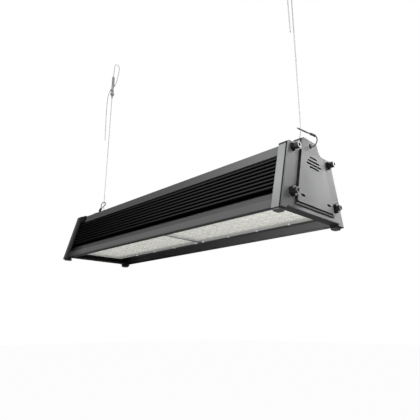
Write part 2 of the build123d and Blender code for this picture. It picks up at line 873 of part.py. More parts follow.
for end, shape in rope_ends.items():
    side = shape["side"]
    rope_place = half_length - rope_from_plate[end]
    slant = radians(shape["slant"])
    along = Vector(cos(slant) * side, 0, sin(slant))
    reach, height = shape["ferrule"]
    foot = Vector((half_length + reach) * side, 0, rope_hole_level + height)

    # Crimp ferrule: an oval sleeve around the wire and its returning end
    with BuildPart() as ferrule:
        with BuildSketch(Plane(origin=foot, x_dir=(0, 1, 0), z_dir=along)):
            SlotOverall(ferrule_width, ferrule_depth)
        extrude(amount=ferrule_length)
    save(ferrule.part, f"ferrule_{end}")

    # Main run: down from the gripper, through the eye and the lug, then out to the ferrule
    route_points = [
        (rope_place * side, 0, rope_top_level),
        (rope_place * side, 0, rope_hole_level + eye_crossing_height),
        (lug_face * side, 0, rope_hole_level + lug_touch_height),
        (lug_face * side, 0, rope_hole_level + lug_edge_height),
    ]
    for reach, height in rope_bows[end]:
        route_points.append(((half_length + reach) * side, 0, rope_hole_level + height))
    route_points += [tuple(foot - along * rope_edge_bend), tuple(foot)]
    rope_tube(f"rope_{end}", route_points, {2: rope_edge_bend})

    # Eye: the wire's end, bent round and crimped back into the ferrule
    eye_points = []
    eye_length = shape["eye_length"]
    for reach, spread in [
        (0, eye_start_spread),
        (eye_straight, eye_start_spread),
        (eye_length * 0.55, eye_width / 2),
        (eye_length, eye_width / 2),
    ]:
        eye_points.append(foot + along * (ferrule_length + reach) + Vector(0, spread, 0))
    eye_points += [Vector(point.X, -point.Y, point.Z) for point in reversed(eye_points)]
    rope_tube(f"rope_eye_{end}", [tuple(point) for point in eye_points])

# Gripper: slim barrel with a lock collar, and a second, tilted channel for the returning rope
collar_foot = rope_top_level + gripper_tip_length
gripper_top = collar_foot + gripper_body_length + gripper_collar_height
channel_centre = collar_foot + gripper_channel_level
channel_lean = Vector(0, sin(radians(gripper_channel_tilt)), cos(radians(gripper_channel_tilt)))
for end, side in (("near", 1), ("far", -1)):
    rope_axis = Vector((half_length - rope_from_plate[end]) * side, 0, 0)
    with BuildPart() as gripper:
        with BuildSketch(Plane(origin=rope_axis + Vector(0, 0, rope_top_level))):
            Circle(gripper_tip_radius)
        extrude(amount=gripper_tip_length)
        with BuildSketch(Plane(origin=rope_axis + Vector(0, 0, collar_foot + gripper_collar_height))):
            Circle(gripper_body_radius)
        extrude(amount=gripper_body_length)
        with BuildSketch(Plane(origin=rope_axis + Vector(0, 0, collar_foot))):
            Circle(gripper_tip_radius)
        extrude(amount=gripper_collar_height)
        chamfer(gripper.faces().sort_by(Axis.Z)[-1].edges(), gripper_edge)
        channel_start = rope_axis + Vector(0, 0, channel_centre) - channel_lean * gripper_channel_reach
        with BuildSketch(Plane(origin=channel_start, z_dir=channel_lean)):
            Circle(gripper_channel_radius)
        extrude(amount=2 * gripper_channel_reach)
    save(gripper.part, f"gripper_{end}")

    # Lock collar, screwed tight around the gripper's neck
    with BuildPart() as gripper_collar:
        with BuildSketch(Plane(origin=rope_axis + Vector(0, 0, collar_foot))):
            Circle(gripper_collar_radius)
            Circle(gripper_tip_radius, mode=Mode.SUBTRACT)
        extrude(amount=gripper_collar_height)
        rims = gripper_collar.edges().filter_by(GeomType.CIRCLE).sort_by(SortBy.RADIUS)[-2:]
        chamfer(rims, gripper_collar_edge)
    save(gripper_collar.part, f"gripper_collar_{end}")

    # Loop over the gripper and the free tail below it
    upper_exit = rope_axis + Vector(0, 0, channel_centre) + channel_lean * gripper_channel_reach
    lower_exit = rope_axis + Vector(0, 0, channel_centre) - channel_lean * gripper_channel_reach
    loop_back = loop_offset + loop_width
    loop_points = [
        (rope_axis.X, 0, gripper_top),
        (rope_axis.X, 0, gripper_top + loop_neck),
        (rope_axis.X, loop_offset, gripper_top + loop_shoulder),
        (rope_axis.X, loop_offset, gripper_top + loop_height),
        (rope_axis.X, loop_back, gripper_top + loop_height),
        (rope_axis.X, loop_back, gripper_top + loop_shoulder),
        (rope_axis.X, loop_waist, gripper_top - loop_waist_drop),
        tuple(upper_exit + channel_lean * channel_lead),
        tuple(upper_exit),
    ]
    rope_tube(f"rope_loop_{end}", loop_points)
    tail_points = [tuple(lower_exit), tuple(lower_exit - channel_lean * channel_lead)]
    tail_points += [(rope_axis.X, -front, rope_top_level + level) for front, level in tail_route]
    rope_tube(f"rope_tail_{end}", tail_points)
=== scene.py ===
from math import atan2, cos, hypot, pi, radians, sin

import bmesh
import bpy
from mathutils import Matrix, Vector


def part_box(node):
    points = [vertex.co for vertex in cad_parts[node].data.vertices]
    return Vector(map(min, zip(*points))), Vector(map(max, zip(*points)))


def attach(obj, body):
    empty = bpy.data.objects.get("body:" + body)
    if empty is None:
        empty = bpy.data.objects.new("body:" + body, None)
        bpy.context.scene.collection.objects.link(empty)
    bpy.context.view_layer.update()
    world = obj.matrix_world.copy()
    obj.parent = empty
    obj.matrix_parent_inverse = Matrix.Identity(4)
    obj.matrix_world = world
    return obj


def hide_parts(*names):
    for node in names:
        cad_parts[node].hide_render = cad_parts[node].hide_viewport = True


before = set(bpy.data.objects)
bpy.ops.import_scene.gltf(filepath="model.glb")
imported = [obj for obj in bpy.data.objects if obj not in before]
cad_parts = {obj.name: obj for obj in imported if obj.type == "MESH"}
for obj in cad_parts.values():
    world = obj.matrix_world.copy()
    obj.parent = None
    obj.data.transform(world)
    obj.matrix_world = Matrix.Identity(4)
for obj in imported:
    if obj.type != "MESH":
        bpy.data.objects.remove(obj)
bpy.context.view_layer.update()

scene = bpy.context.scene


# Camera: below the light and in front of its near end, looking up along it, as in the photo.
# The place, turn and focal length were worked out from the corners of the end plates.
camera_data = bpy.data.cameras.new("camera")
camera = bpy.data.objects.new("camera", camera_data)
scene.collection.objects.link(camera)
scene.camera = camera
camera.location = (0.58337, -0.50321, -0.14503)
camera.rotation_mode = "XYZ"
camera.rotation_euler = (radians(106.128), radians(0.1134), radians(44.5108))
camera_data.sensor_width = 36.0
camera_data.lens = 34.33
camera_data.clip_start = 0.01
camera_data.clip_end = 60.0


# Finishes: every material is a Finish, and every pattern on it is a formula of Shades.
# A Shade is one output of a shader node, and each sum on it adds the node that works it out.
class Shade:
    """A number or colour that changes over a finish's surface."""

    def __init__(self, finish, output):
        self.finish = finish
        self.output = output

    def sum(self, operation, first, second=0.0):
        return self.finish.node("Math", {"operation": operation}, {0: first, 1: second})

    def __add__(self, other):
        return self.sum("ADD", self, other)

    def __sub__(self, other):
        return self.sum("SUBTRACT", self, other)

    def __rsub__(self, other):
        return self.sum("SUBTRACT", other, self)

    def __mul__(self, other):
        return self.sum("MULTIPLY", self, other)

    def __truediv__(self, other):
        return self.sum("DIVIDE", self, other)

    def __mod__(self, other):
        return self.sum("FLOORED_MODULO", self, other)

    def __pow__(self, other):
        return self.sum("POWER", self, other)

    def __abs__(self):
        return self.sum("ABSOLUTE", self)

    def __lt__(self, other):
        return self.sum("LESS_THAN", self, other)

    def __gt__(self, other):
        return self.sum("GREATER_THAN", self, other)

    __radd__ = __add__
    __rmul__ = __mul__


class Finish:
    """A material with one surface shader, whose sockets take numbers, colours or Shades."""

    def __init__(self, name, colour, roughness, metallic=0.0, **numbers):
        self.material = bpy.data.materials.new(name)
        self.material.use_nodes = True
        self.tree = self.material.node_tree
        self.surface = self.tree.nodes["Principled BSDF"]
        self.feed("Base Color", colour)
        self.feed("Roughness", roughness)
        self.feed("Metallic", metallic)
        for socket, value in numbers.items():
            self.feed(socket.replace("_", " ").title(), value)

    def join(self, value, socket):
        if isinstance(value, Shade):
            self.tree.links.new(value.output, socket)
        elif isinstance(value, tuple) and len(value) == 3 and socket.type == "RGBA":
            socket.default_value = (*value, 1.0)
        else:
            socket.default_value = value

    def feed(self, name, value):
        self.join(value, self.surface.inputs[name.replace("Ior", "IOR")])

    def node(self, kind, settings=None, inputs=None, output=0):
        made = self.tree.nodes.new("ShaderNode" + kind)
        for name, value in (settings or {}).items():
            setattr(made, name, value)
        for socket, value in (inputs or {}).items():
            self.join(value, made.inputs[socket])
        return Shade(self, made.outputs[output])

    def place(self):
        return self.node("TexCoord", output="Object")

    def along(self):
        """The place on the object, as three Shades: X, Y and Z in metres."""
        split = self.node("SeparateXYZ", inputs={0: self.place()}).output.node
        return [Shade(self, split.outputs[axis]) for axis in range(3)]

    def grain(self, size, stretch=(1.0, 1.0, 1.0), detail=3.0):
        """Soft noise from 0 to 1 whose spots are about `size` metres, times each stretch."""
        scale = tuple(1.0 / (size * value) for value in stretch)
        spot = self.node("Mapping", inputs={"Vector": self.place(), "Scale": scale})
        return self.node("TexNoise", inputs={"Vector": spot, "Scale": 1.0, "Detail": detail})

    def mix(self, share, first, second):
        """Colour `first` where share is 0 and colour `second` where it is 1."""
        return self.node("Mix", {"data_type": "RGBA"}, {0: share, 6: first, 7: second}, 2)

    def clamp(self, value):
        return self.node("Clamp", inputs={0: value})

    def bump(self, height, depth):
        """Raise the surface by `depth` metres where height is 1."""
        inputs = {"Height": height, "Distance": depth, "Strength": 1.0}
        self.feed("Normal", self.node("Bump", inputs=inputs))


def dress(finish, *nodes):
    """Give carried-over CAD nodes a finish."""
    for name in nodes:
        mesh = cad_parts[name].data
        mesh.materials.clear()
        mesh.materials.append(finish.material)


def finished(name, mesh, finish, slot, *replaced):
    """Turn a bmesh into a piece of the light, in place of the CAD nodes that it replaces."""
    bmesh.ops.remove_doubles(mesh, verts=mesh.verts, dist=1e-6)
    bmesh.ops.recalc_face_normals(mesh, faces=mesh.faces)
    data = bpy.data.meshes.new(name)
    mesh.to_mesh(data)
    mesh.free()
    data.materials.append(finish.material)
    piece = bpy.data.objects.new(name, data)
    scene.collection.objects.link(piece)
    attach(piece, "root")
    if replaced:
        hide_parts(*replaced)
    return piece


def smooth(piece, angle=40.0):
    """Shade the piece smooth, apart from edges that are sharper than the angle."""
    piece.data.shade_smooth()
    piece.data.set_sharp_from_angle(angle=radians(angle))


# Wire ropes: 2 mm galvanised rope, taut between ceiling and lugs.
# At the eye and the bow its colour is darker, as painted shade.
# Each one comes down through its own eye, goes out through the lug's hole and back up to the
# crimp that holds the eye. Above its gripper it makes a loop, and its spare end hangs free.
side_of = {"near": 1, "far": -1}
rope_width = 0.002
rope_strands = 6
rope_lay = 0.014
rope_finish = Finish("galvanised_rope", (0.42, 0.42, 0.42), 0.42, 0.55)
rope_shine = rope_finish.grain(0.004)
x, y, z = rope_finish.along()
# Painted shade: the rope is dark where it bows out of the lug's hole.
bow_shade = (abs(x) > 0.2925) * (z < 0.137)
rope_grey = rope_finish.mix(rope_shine, (0.50, 0.50, 0.50), (0.66, 0.66, 0.66))
rope_finish.feed("Base Color", rope_finish.mix(bow_shade, rope_grey, (0.09, 0.09, 0.09)))
rope_finish.feed("Roughness", 0.42 + 0.2 * rope_shine)

# The crimped eye is the same rope, in a darker copy of its finish: painted shade.
shaded_eye_finish = Finish("shaded_rope", (0.10, 0.10, 0.10), 0.45, 0.5)
eye_shine = shaded_eye_finish.grain(0.004)
shaded_eye_finish.feed("Base Color", shaded_eye_finish.mix(eye_shine, (0.06, 0.06, 0.06), (0.17, 0.17, 0.17)))


def spline_line(name, points):
    """The smooth line that a rope with these control points follows, as a list of places."""
    data = bpy.data.curves.new(name + "_line", "CURVE")
    data.dimensions = "3D"
    data.resolution_u = 24
    spline = data.splines.new("NURBS")
    spline.points.add(len(points) - 1)
    for control, place in zip(spline.points, points):
        control.co = (*place, 1.0)
    spline.order_u = 3
    spline.use_endpoint_u = True
    holder = bpy.data.objects.new(name + "_line", data)
    scene.collection.objects.link(holder)
    line_mesh = bpy.data.meshes.new_from_object(holder)
    line = [vertex.co.copy() for vertex in line_mesh.vertices]
    bpy.data.objects.remove(holder)
    bpy.data.meshes.remove(line_mesh)
    return line


def even_steps(line, step):
    """Places along the line, one every step."""
    places = [line[0]]
    left = step
    for start, end in zip(line[:-1], line[1:]):
        run = (end - start).length
        while left <= run:
            places.append(start.lerp(end, left / run))
            left += step
        left -= run
    if (places[-1] - line[-1]).length > step / 2:
        places.append(line[-1])
    else:
        places[-1] = line[-1]
    return places


def wire_rope(name, points, finish, replaced):
    """A twisted rope around the spline of its route."""
    steps = even_steps(spline_line(name, points), rope_width * 0.3)
    around = 3 * rope_strands
    mesh = bmesh.new()
    side = Vector((0.0, 1.0, 0.0))
    rings = []
    walked = 0.0
    for index, place in enumerate(steps):
        before = steps[max(index - 1, 0)]
        after = steps[min(index + 1, len(steps) - 1)]
        along = (after - before).normalized()
        side = (side - along * side.dot(along)).normalized()
        other = along.cross(side)
        if index:
            walked += (place - before).length
        ring = []
        for corner in range(around):
            angle = 2 * pi * corner / around
            lobe = cos(rope_strands * (angle - 2 * pi * walked / rope_lay))
            radius = rope_width / 2 * (0.93 + 0.07 * lobe)
            ring.append(mesh.verts.new(place + (side * cos(angle) + other * sin(angle)) * radius))
        rings.append(ring)
    for low, high in zip(rings[:-1], rings[1:]):
        for corner in range(around):
            after = (corner + 1) % around
            mesh.faces.new((low[corner], low[after], high[after], high[corner]))
    mesh.faces.new(rings[0])
    mesh.faces.new(reversed(rings[-1]))
    piece = finished(name, mesh, finish, "wire_rope", *replaced)
    smooth(piece, 60.0)
    length = sum((b - a).length for a, b in zip(steps[:-1], steps[1:]))
    return piece


rope_place = {"near": 0.2884, "far": 0.2860}
hole_level = 0.1154
rope_top = 0.4525
rope_in_gripper = 0.009
lug_face = 0.2842
gripper_top = 0.5205
eye_length = {"near": 0.0267, "far": 0.0203}
slant = {"near": radians(141.1), "far": radians(139.0)}
ferrule_foot = {"near": (0.3112, 0.1302), "far": (0.3055, 0.1360)}
bow = {
    "near": [(0.3069, 0.1124), (0.3143, 0.1184)],
    "far": [(0.3057, 0.1125), (0.3110, 0.1199)],
}
ferrule_length = 0.0085
rope_past_ferrule = 0.0045
eye_spread = 0.0013
eye_neck = 0.004
eye_half_width = 0.005


def ferrule_axis(end):
    """Where an end's crimp starts, and the direction in which it points to the eye."""
    across, level = ferrule_foot[end]
    foot = Vector((across * side_of[end], 0.0, level))
    return foot, Vector((cos(slant[end]) * side_of[end], 0.0, sin(slant[end])))


def rope_route(end):
    """From the crimp through the lug's hole and its own eye, up to the gripper."""
    foot, along = ferrule_axis(end)
    side = side_of[end]
    points = [foot, foot - along * rope_past_ferrule]
    points += [Vector((x * side, 0.0, z)) for x, z in reversed(bow[end])]
    points += [
        Vector((lug_face * side, 0.0, hole_level + 0.001)),
        Vector((lug_face * side, 0.0, hole_level + 0.0155)),
        Vector((rope_place[end] * side, 0.0, hole_level + 0.033)),
        Vector((rope_place[end] * side, 0.0, hole_level + 0.045)),
        Vector((rope_place[end] * side, 0.0, rope_top + rope_in_gripper)),
    ]
    return points


def eye_route(end):
    """Out of the crimp, round the eye and back into the crimp."""
    foot, along = ferrule_axis(end)
    shape = [
        (0.0, eye_spread),
        (eye_neck, eye_spread),
        (eye_length[end] * 0.55, eye_half_width),
        (eye_length[end], eye_half_width),
    ]
    one = [foot + along * (ferrule_length + reach) + Vector((0, out, 0)) for reach, out in shape]
    return one + [Vector((p.x, -p.y, p.z)) for p in reversed(one)]


# Grippers: slim turned barrels of nickel-plated brass that clamp the rope inside.
# A knurled collar locks each one, and a slanting side channel takes the returning rope.
gripper_finish = Finish("nickel", (0.27, 0.27, 0.27), 0.28, 0.9)
nickel_spots = gripper_finish.grain(0.006)
gripper_finish.feed("Roughness", 0.22 + 0.16 * nickel_spots)
collar_foot = 0.4635
collar_top = 0.4675
knurl_ridges = 48
knurl_from = 0.0053
knurl_depth = 0.05
channel_lean = radians(27.0)
channel = Vector((0.0, sin(channel_lean), cos(channel_lean)))
channel_middle = collar_foot + 0.0225
channel_reach = 0.013
rope_past_channel = 0.0068
loop_top = gripper_top + 0.043
loop_waist = gripper_top + 0.0275
loop_inner = 0.0015
loop_outer = 0.0165
tail = [(0.0124, 0.455), (0.0136, 0.430), (0.0132, 0.395), (0.0122, 0.358), (0.0110, 0.3237)]
barrel_profile = [
    (0.0, rope_top), (0.0014, rope_top), (0.0022, rope_top + 0.0016),
    (0.0022, collar_top), (0.0030, collar_top), (0.0035, collar_top + 0.0006),
    (0.0035, collar_top + 0.0100), (0.0032, collar_top + 0.0104),
    (0.0032, collar_top + 0.0122), (0.0035, collar_top + 0.0126),
    (0.0035, gripper_top - 0.0030), (0.0031, gripper_top - 0.0008),
    (0.0027, gripper_top), (0.0, gripper_top),
]
channel_profile = [
    (0.0, 0.0), (0.0017, 0.0), (0.0022, 0.0006), (0.0022, 2 * channel_reach - 0.0006),
    (0.0017, 2 * channel_reach), (0.0, 2 * channel_reach),
]
collar_profile = [
    (0.0023, collar_foot), (0.0050, collar_foot), (0.0055, collar_foot + 0.0005),
    (0.0055, collar_top - 0.0005), (0.0050, collar_top), (0.0023, collar_top),
    (0.0023, collar_foot),
]


def turned(mesh, profile, segments, foot=(0, 0, 0), axis=(0, 0, 1)):
    """Add a solid of revolution: (radius, height) pairs spun about an axis from its foot."""
    start = [mesh.verts.new((radius, 0.0, height)) for radius, height in profile]
    edges = [mesh.edges.new(pair) for pair in zip(start[:-1], start[1:])]
    bmesh.ops.spin(
        mesh, geom=start + edges, cent=(0, 0, 0), axis=(0, 0, 1), angle=2 * pi,
        steps=segments, use_merge=True, use_duplicate=False,
    )
    found = set(start)
    grow = list(start)
    while grow:
        vertex = grow.pop()
        for edge in vertex.link_edges:
            other = edge.other_vert(vertex)
            if other not in found:
                found.add(other)
                grow.append(other)
    turn = Vector((0, 0, 1)).rotation_difference(Vector(axis)).to_matrix().to_4x4()
    bmesh.ops.transform(mesh, matrix=Matrix.Translation(foot) @ turn, verts=list(found))


for end, side in side_of.items():
    x = rope_place[end] * side
    upper_exit = Vector((x, 0.0, channel_middle)) + channel * channel_reach
    lower_exit = Vector((x, 0.0, channel_middle)) - channel * channel_reach
    body = bmesh.new()
    turned(body, barrel_profile, 24, foot=(x, 0, 0))
    turned(body, channel_profile, 20, foot=lower_exit, axis=channel)
    gripper = finished(
        f"gripper_barrel_{end}", body, gripper_finish, "gripper_metal", f"gripper_{end}"
    )
    smooth(gripper)

    # The collar's knurl is a ring of small straight ridges
    ring = bmesh.new()
    turned(ring, collar_profile, knurl_ridges, foot=(x, 0, 0))
    for vertex in ring.verts:
        radius = hypot(vertex.co.x - x, vertex.co.y)
        ridge = round(atan2(vertex.co.y, vertex.co.x - x) / (2 * pi / knurl_ridges)) % 2
        if radius > knurl_from and ridge:
            vertex.co.x = x + (vertex.co.x - x) * (1 - knurl_depth)
            vertex.co.y *= 1 - knurl_depth
    collar = finished(
        f"lock_collar_{end}", ring, gripper_finish, "gripper_metal", f"gripper_collar_{end}"
    )

    wire_rope(
        f"hanging_rope_{end}", rope_route(end), rope_finish, [f"rope_{end}"],
    )
    wire_rope(f"crimped_eye_{end}", eye_route(end), shaded_eye_finish, [f"rope_eye_{end}"])
    loop_points = [
        Vector((x, 0.0, gripper_top)),
        Vector((x, 0.0, gripper_top + 0.008)),
        Vector((x, loop_inner, loop_waist)),
        Vector((x, loop_inner, loop_top)),
        Vector((x, loop_outer, loop_top)),
        Vector((x, loop_outer, loop_waist)),
        Vector((x, 0.0125, gripper_top - 0.0005)),
        upper_exit + channel * rope_past_channel,
        upper_exit,
    ]
    wire_rope(f"top_loop_{end}", loop_points, rope_finish, [f"rope_loop_{end}"])
    tail_points = [lower_exit, lower_exit - channel * rope_past_channel]
    tail_points += [Vector((x, -front, level)) for front, level in tail]
    wire_rope(
        f"free_tail_{end}", tail_points, rope_finish, [f"rope_tail_{end}"]
    )


# Crimp ferrules: short oval sleeves of dark metal, pressed round the rope and its end.
# The press leaves two shallow waists across each sleeve.
ferrule_finish = Finish("crimped_metal", (0.055, 0.055, 0.055), 0.38, 0.7)
ferrule_finish.feed("Roughness", 0.3 + 0.25 * ferrule_finish.grain(0.003))
ferrule_profile = [
    (0.0, 0.0), (0.0016, 0.0), (0.0019, 0.0004), (0.0019, 0.0018), (0.0017, 0.0024),
    (0.0017, 0.0031), (0.0019, 0.0038), (0.0019, 0.0047), (0.0017, 0.0053),
    (0.0017, 0.0060), (0.0019, 0.0067), (0.0019, 0.0081),
    (0.0016, ferrule_length), (0.0, ferrule_length),
]
for end in side_of:
    foot, along = ferrule_axis(end)
    sleeve = bmesh.new()
    turned(sleeve, ferrule_profile, 24)
    for vertex in sleeve.verts:
        if vertex.co.y:
            vertex.co.y += eye_spread * (1 if vertex.co.y > 0 else -1)
    across = Vector((0, 1, 0))
    turn = Matrix((across.cross(along), across, along)).transposed().to_4x4()
    bmesh.ops.transform(sleeve, matrix=Matrix.Translation(foot) @ turn, verts=sleeve.verts)
    crimp = finished(f"crimp_{end}", sleeve, ferrule_finish, "ferrule_metal", f"ferrule_{end}")
    smooth(crimp)


# Housing: one extrusion of aluminium with a dark anodised skin, pressed out along X.
# The die leaves fine lines along it. Shade is painted into its colour between the fins, under
# the folded lip, in the band above the crease and towards the far end. Painted light makes the
# rail lighter towards the near end, and the skirts change tone along the length as painted
# light and shade. The rail is also painted black beside the plug.
side_lean = 0.2617
foot_level = 0.0025
foot_half = 0.0820
fin_low, fin_high = 0.0282, 0.0883
rail_top = 0.1034
crease_level = 0.0190
lip_level = 0.0070
housing_finish = Finish("dark_anodised", (0.19, 0.19, 0.19), 0.5, specular_ior_level=0.08)
x, y, z = housing_finish.along()
die_lines = housing_finish.grain(0.0009, stretch=(400.0, 1.0, 1.0), detail=2.0)
cloud = housing_finish.grain(0.05, stretch=(2.5, 1.0, 1.0))
skin = housing_finish.mix(
    cloud * 0.6 + die_lines * 0.4, (0.158, 0.159, 0.161), (0.212, 0.213, 0.215)
)
outer_half = foot_half - side_lean * (z - foot_level)
behind_edge = housing_finish.clamp((outer_half - abs(y) - 0.0006) / 0.0022)
in_fins = (z > fin_low) * (z < fin_high)
upper_band = (z > crease_level) * (z < fin_low)
on_lip = (z < lip_level) * (y < -0.0735)
# Painted light: the rail is lighter towards the near end.
near_rail = housing_finish.clamp((x - 0.08) / 0.16)
rail = housing_finish.mix(near_rail, (0.112, 0.113, 0.115), (0.230, 0.232, 0.235))
skin = housing_finish.mix((z > fin_high) * 0.7, skin, rail)
# Painted light and shade: the front skirt is darker near the near end, lighter towards the far
# end.
front_near = housing_finish.clamp((x + 0.17) / 0.41)
front_skirt = housing_finish.mix(front_near, (0.245, 0.246, 0.249), (0.135, 0.136, 0.138))
on_skirt = z < crease_level
skin = housing_finish.mix(on_skirt, skin, front_skirt)
# Painted light and shade: the back skirt is lighter at the near end and nearly black at the far
# end.
back_near = housing_finish.clamp((x + 0.14) / 0.42)
back_skirt = housing_finish.mix(back_near, (0.028, 0.028, 0.029), (0.235, 0.236, 0.239))
skin = housing_finish.mix(on_skirt * (y > 0.0), skin, back_skirt)
# Painted shade: the band above the crease, the fins, the gaps between them and the lip are
# darker.
skin = housing_finish.mix(upper_band, skin, (0.110, 0.111, 0.113))
skin = housing_finish.mix(in_fins, skin, (0.031, 0.032, 0.033))
skin = housing_finish.mix(behind_edge * in_fins, skin, (0.004, 0.004, 0.004))
skin = housing_finish.mix(on_lip, skin, (0.035, 0.035, 0.035))
# Painted shade towards the far end, and the rail painted black beside the plug.
far_end = housing_finish.clamp((-0.225 - x) / 0.05)
far_fins = housing_finish.clamp((0.12 - x) / 0.35) * in_fins
far_shade = 0.95 * far_fins + far_end * upper_band + 0.6 * far_end * on_skirt
on_rail = (z > fin_high) * (z < rail_top) * (y < 0.005 - outer_half)
beside_plug = (x < -0.262) * on_rail
far_shade = housing_finish.clamp(far_shade + beside_plug)
housing_finish.feed("Base Color", housing_finish.mix(far_shade, skin, (0.002, 0.002, 0.002)))
housing_finish.feed("Roughness", 0.42 + 0.16 * die_lines + 0.42 * far_shade)
housing_finish.bump(die_lines, 0.00004)
dress(housing_finish, "housing")


# Rail plug and cover spacers: the plug closes the front rail's far end, and a spacer holds each
# cover off its end plate. Both are black moulded plastic with a fine spark-eroded grain.
black_plastic = Finish("black_plastic", (0.012, 0.012, 0.012), 0.5, specular_ior_level=0.1)
black_grain = black_plastic.grain(0.0007)
black_plastic.feed("Roughness", 0.72 + 0.2 * black_grain)
black_plastic.bump(black_grain, 0.00003)
dress(black_plastic, "rail_plug", "cover_spacer_near", "cover_spacer_far")


# End frames, plates and covers: cast and pressed aluminium under grey powder coat.
# The coat has a slight orange peel, and the castings are a shade lighter than the plates.
# Shade and light are painted into the coats by place: the frames' seams, undersides, top edges,
# lower strips and the whole far frame are darker, and so are the plates' fronts, the hollows
# behind the covers and the covers' fronts, as painted shade. The plates' back feet are lighter,
# as painted light. The feet are dark in their lowest 4 mm, the covers have a dark edge band,
# and the darkest tones are also dull.
darkest = 0.06


def powder_coat(name, dark, light, *shades):
    """Grey powder coat. Each shade is where a tone lies on the piece, and its colour."""
    coat = Finish(name, light, 0.5, specular_ior_level=0.2)
    peel = coat.grain(0.0014, detail=2.0)
    tone = coat.grain(0.06)
    colour = coat.mix(coat.clamp(tone * 1.4 - 0.2), dark, light)
    roughness = 0.44 + 0.14 * peel
    for where, deep in shades:
        share = where(*coat.along())
        colour = coat.mix(share, colour, deep)
        if deep[0] < darkest:
            roughness = roughness + 0.3 * share
    coat.feed("Base Color", colour)
    coat.feed("Roughness", coat.clamp(roughness))
    coat.bump(peel, 0.00005)
    return coat


# The places of the shades: each function gives 1 where its tone lies and 0 elsewhere
# Painted shade on the underside of the frame's lower bar.
def lower_bar_shade(x, y, z):
    return (z < 0.0104) * (abs(y) < 0.0735)


def cover_edge(x, y, z):
    return (abs(x) > 0.3047) * (abs(x) < 0.3058)


# Painted shade: the cover is darker at its front and lower part.
def cover_front_shade(x, y, z):
    share = z.finish.clamp
    return share((0.005 - y) / 0.03) * share((0.085 - z) / 0.03)


def foot_end(x, y, z):
    return z < 0.0040


# Painted shade on the frame beside its gasket seam.
def seam_shade(x, y, z):
    return abs(x) > 0.2980


# Painted shade on the frame's top edges and shoulders.
def upper_edge_shade(x, y, z):
    return (z > 0.1030) * (abs(y) > 0.040) + (z > 0.1219)


# Painted shade: the frame is darker towards its foot.
def strip_foot_shade(x, y, z):
    return z.finish.clamp((0.045 - z) / 0.035) * 0.6


# Painted shade on the far frame, darkest on its inner side.
def far_frame_shade(x, y, z):
    inner_side = x > -0.2925
    return (x < 0.0) * 0.6 + (x < 0.0) * inner_side * 0.38


# Painted shade on the plate's front side, darker towards the bottom.
def front_side_shade(x, y, z):
    share = z.finish.clamp
    return share((-0.035 - y) / 0.02) * share((0.095 - z) / 0.09)


# Painted light on the plate's back foot.
def back_foot_light(x, y, z):
    share = z.finish.clamp
    return share((y + 0.04) / 0.02) * share((0.045 - z) / 0.02)


# Painted shade on the plate behind its cover.
def behind_cover_shade(x, y, z):
    cover_inside = 0.0475 - 0.2455 * (z - 0.0178)
    return (abs(y) < cover_inside) * (z > 0.0205) * (z < 0.0975)


frame_coat = powder_coat(
    "frame_coat", (0.37, 0.375, 0.38), (0.44, 0.445, 0.45),
    (strip_foot_shade, (0.20, 0.202, 0.205)), (far_frame_shade, (0.05, 0.0505, 0.051)),
    (lower_bar_shade, (0.024, 0.024, 0.024)), (seam_shade, (0.06, 0.06, 0.06)),
    (foot_end, (0.02, 0.02, 0.02)), (upper_edge_shade, (0.04, 0.04, 0.04)),
)
dress(frame_coat, "end_frame_near", "end_frame_far")
plate_coat = powder_coat(
    "plate_coat", (0.265, 0.267, 0.270), (0.305, 0.307, 0.310),
    (front_side_shade, (0.09, 0.091, 0.092)), (back_foot_light, (0.49, 0.493, 0.496)),
    (foot_end, (0.02, 0.02, 0.02)), (behind_cover_shade, (0.004, 0.004, 0.004)),
)
dress(plate_coat, "end_plate_near", "end_plate_far")
cover_coat = powder_coat(
    "cover_coat", (0.31, 0.312, 0.315), (0.37, 0.372, 0.375),
    (cover_front_shade, (0.25, 0.252, 0.255)), (cover_edge, (0.03, 0.03, 0.03)),
)
dress(cover_coat, "end_cover_near", "end_cover_far")
lip_coat = powder_coat("lip_coat", (0.065, 0.066, 0.068), (0.090, 0.091, 0.093))


def cover_bar(name, finish, slot, foot, top, half_width, inner, outer):
    """A slim bar under an end's cover, between two heights and two distances along X."""
    bar = bmesh.new()
    bmesh.ops.create_cube(bar, size=1.0)
    size = (outer - inner, 2 * half_width, top - foot)
    bmesh.ops.scale(bar, vec=size, verts=bar.verts)
    bmesh.ops.bevel(bar, geom=bar.edges[:], offset=0.0003, segments=2, affect="EDGES")
    for end, side in side_of.items():
        placed = bar.copy()
        middle = (side * (inner + outer) / 2, 0.0, (foot + top) / 2)
        bmesh.ops.translate(placed, vec=middle, verts=placed.verts)
        finished(f"{name}_{end}", placed, finish, slot)
    bar.free()


# Below the cover, the spacer ends in a black flange that carries a narrow coated lip
cover_bar("spacer_flange", black_plastic, "black_plastic", 0.0125, 0.0176, 0.0528, 0.3026, 0.3036)
cover_bar("cover_lip", lip_coat, "plate_metal", 0.0135, 0.0161, 0.0520, 0.3036, 0.3048)


# Seals, gaskets and foot pads: the gaskets lie between frames and end plates, and the pads are
# pressed onto the frames' feet. All are black silicone or rubber, dull and a little dusty.
rubber = Finish("black_rubber", (0.012, 0.012, 0.012), 0.75, specular_ior_level=0.15)
dust = rubber.grain(0.005)
rubber.feed("Base Color", rubber.mix(dust, (0.004, 0.004, 0.004), (0.012, 0.012, 0.012)))
rubber.feed("Roughness", 0.62 + 0.25 * dust)
dress(
    rubber, "end_gasket_near", "end_gasket_far", "panel_seal_near", "panel_seal_far", "gland_seal"
)
pad_rubber = Finish("grey_rubber", (0.13, 0.13, 0.13), 0.6, specular_ior_level=0.2)
pad_dust = pad_rubber.grain(0.004)
pad_grey = pad_rubber.mix(pad_dust, (0.10, 0.10, 0.10), (0.15, 0.15, 0.15))
x, y, z = pad_rubber.along()
